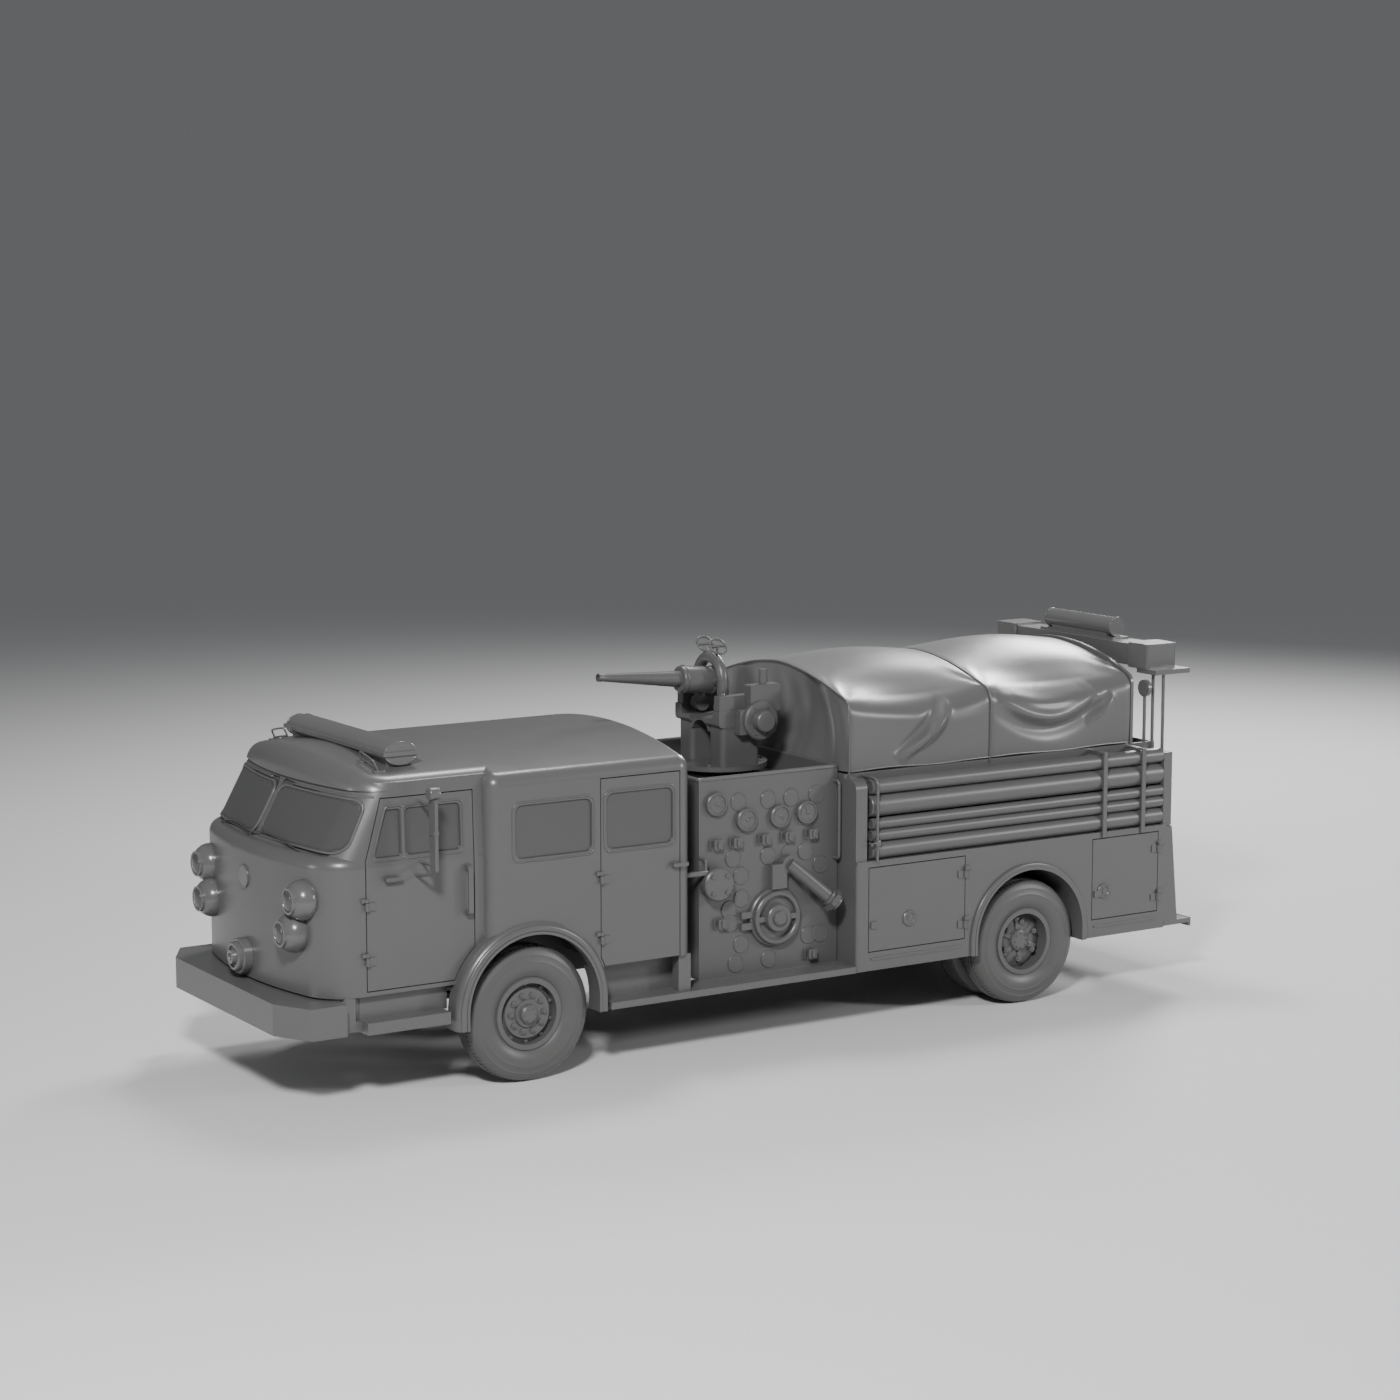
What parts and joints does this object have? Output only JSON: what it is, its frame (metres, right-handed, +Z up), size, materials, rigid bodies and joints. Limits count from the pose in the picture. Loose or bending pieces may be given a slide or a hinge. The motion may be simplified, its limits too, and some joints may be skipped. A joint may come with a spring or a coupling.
{
  "type": "fire engine",
  "caption": "Two-axle pumper fire engine with a forward cab, crew doors, side pump panels, a deck gun and a covered hose bed.",
  "frame": {"origin": "on the ground under the middle of the overall length and width", "axes": "+X forward, +Y to the vehicle's left, +Z up"},
  "size_m": [8.5, 2.75, 3.128],
  "materials": {
    "body_paint": "satin",
    "frame_paint": "matte",
    "cast_metal": "satin",
    "window_glass": "smooth",
    "lamp_shell": "gloss",
    "plain_metal": "satin",
    "panel_sheet": "satin",
    "hose_rubber": "matte",
    "canvas": "matte",
    "seat_cover": "satin",
    "dash_plastic": "matte",
    "tank_plastic": "matte",
    "wheel_paint": "satin",
    "tyre_rubber": "matte"
  },
  "bodies": {
    "chassis": {"chassis_frame": "frame_paint", "tow_eyes": "frame_paint", "engine": "cast_metal", "fire_pump": "cast_metal", "drive_shafts": "frame_paint", "water_tank": "tank_plastic", "front_axle": "frame_paint", "rear_axle": "frame_paint", "leaf_springs": "frame_paint", "front_bumper": "plain_metal", "cab_nose": "body_paint", "cab_sides": "body_paint", "cab_back": "body_paint", "cab_roof": "body_paint", "cab_floor": "body_paint", "cab_glass": "window_glass", "dashboard": "dash_plastic", "seats": "seat_cover", "nose_lamps": "lamp_shell", "light_bars": "lamp_shell", "wheel_arches": "body_paint", "side_steps": "plain_metal", "pump_house": "body_paint", "pump_panel_left": "panel_sheet", "pump_panel_right": "panel_sheet", "pump_fittings": "cast_metal", "lockers": "body_paint", "hose_bed": "body_paint", "suction_hoses": "hose_rubber", "hose_cover": "canvas", "cover_hoop": "plain_metal", "rear_gantry": "plain_metal", "tail_board": "plain_metal", "tail_lamps": "lamp_shell", "gun_stand": "cast_metal"},
    "knuckle_left": {"knuckle_left": "frame_paint"},
    "front_wheel_left": {"front_wheel_left": "wheel_paint", "front_tyre_left": "tyre_rubber"},
    "rear_wheel_left": {"rear_wheel_left": "wheel_paint", "rear_tyres_left": "tyre_rubber"},
    "front_door_left": {"front_door_left": "body_paint", "front_door_glass_left": "window_glass"},
    "crew_door_left": {"crew_door_left": "body_paint", "crew_door_glass_left": "window_glass"},
    "front_locker_door_left": {"front_locker_door_left": "body_paint"},
    "rear_locker_door_left": {"rear_locker_door_left": "body_paint"},
    "knuckle_right": {"knuckle_right": "frame_paint"},
    "front_wheel_right": {"front_wheel_right": "wheel_paint", "front_tyre_right": "tyre_rubber"},
    "rear_wheel_right": {"rear_wheel_right": "wheel_paint", "rear_tyres_right": "tyre_rubber"},
    "front_door_right": {"front_door_right": "body_paint", "front_door_glass_right": "window_glass"},
    "crew_door_right": {"crew_door_right": "body_paint", "crew_door_glass_right": "window_glass"},
    "front_locker_door_right": {"front_locker_door_right": "body_paint"},
    "rear_locker_door_right": {"rear_locker_door_right": "body_paint"},
    "gun_turret": {"gun_turret": "cast_metal"},
    "gun_barrel": {"gun_barrel": "cast_metal"}
  },
  "joints": [
    {"name": "steer_left", "type": "hinge", "parent": "chassis", "child": "knuckle_left", "pos_m": [2.25, 0.95, 0.527], "axis": [0, 0, 1], "range_deg": [-32, 32]},
    {"name": "front_wheel_left_spin", "type": "hinge", "parent": "knuckle_left", "child": "front_wheel_left", "pos_m": [2.25, 1.03, 0.527], "axis": [0, 1, 0], "continuous": true},
    {"name": "rear_wheel_left_spin", "type": "hinge", "parent": "chassis", "child": "rear_wheel_left", "pos_m": [-2.475, 0.8825, 0.527], "axis": [0, 1, 0], "continuous": true},
    {"name": "front_door_left_swing", "type": "hinge", "parent": "chassis", "child": "front_door_left", "pos_m": [3.591, 1.136, 1.3], "axis": [0, 0, -1], "range_deg": [0, 70]},
    {"name": "crew_door_left_swing", "type": "hinge", "parent": "chassis", "child": "crew_door_left", "pos_m": [1.652, 1.221, 1.3], "axis": [0, 0, -1], "range_deg": [0, 75]},
    {"name": "front_locker_door_left_swing", "type": "hinge", "parent": "chassis", "child": "front_locker_door_left", "pos_m": [-1.804, 1.236, 1], "axis": [0, 0, 1], "range_deg": [0, 95]},
    {"name": "rear_locker_door_left_swing", "type": "hinge", "parent": "chassis", "child": "rear_locker_door_left", "pos_m": [-3.864, 1.236, 1], "axis": [0, 0, 1], "range_deg": [0, 95]},
    {"name": "steer_right", "type": "hinge", "parent": "chassis", "child": "knuckle_right", "pos_m": [2.25, -0.95, 0.527], "axis": [0, 0, 1], "range_deg": [-32, 32]},
    {"name": "front_wheel_right_spin", "type": "hinge", "parent": "knuckle_right", "child": "front_wheel_right", "pos_m": [2.25, -1.03, 0.527], "axis": [0, 1, 0], "continuous": true},
    {"name": "rear_wheel_right_spin", "type": "hinge", "parent": "chassis", "child": "rear_wheel_right", "pos_m": [-2.475, -0.8825, 0.527], "axis": [0, 1, 0], "continuous": true},
    {"name": "front_door_right_swing", "type": "hinge", "parent": "chassis", "child": "front_door_right", "pos_m": [3.591, -1.136, 1.3], "axis": [0, 0, 1], "range_deg": [0, 70]},
    {"name": "crew_door_right_swing", "type": "hinge", "parent": "chassis", "child": "crew_door_right", "pos_m": [1.652, -1.221, 1.3], "axis": [0, 0, 1], "range_deg": [0, 75]},
    {"name": "front_locker_door_right_swing", "type": "hinge", "parent": "chassis", "child": "front_locker_door_right", "pos_m": [-1.804, -1.236, 1], "axis": [0, 0, -1], "range_deg": [0, 95]},
    {"name": "rear_locker_door_right_swing", "type": "hinge", "parent": "chassis", "child": "rear_locker_door_right", "pos_m": [-3.864, -1.236, 1], "axis": [0, 0, -1], "range_deg": [0, 95]},
    {"name": "gun_traverse", "type": "hinge", "parent": "chassis", "child": "gun_turret", "pos_m": [-0.18, 0, 2.07], "axis": [0, 0, 1], "range_deg": [-90, 90]},
    {"name": "gun_elevate", "type": "hinge", "parent": "gun_turret", "child": "gun_barrel", "pos_m": [-0.11, 0, 2.57], "axis": [0, -1, 0], "range_deg": [-15, 60]}
  ],
  "couplings": [
    {"joint": "steer_right", "follows": "steer_left", "ratio": 1}
  ]
}
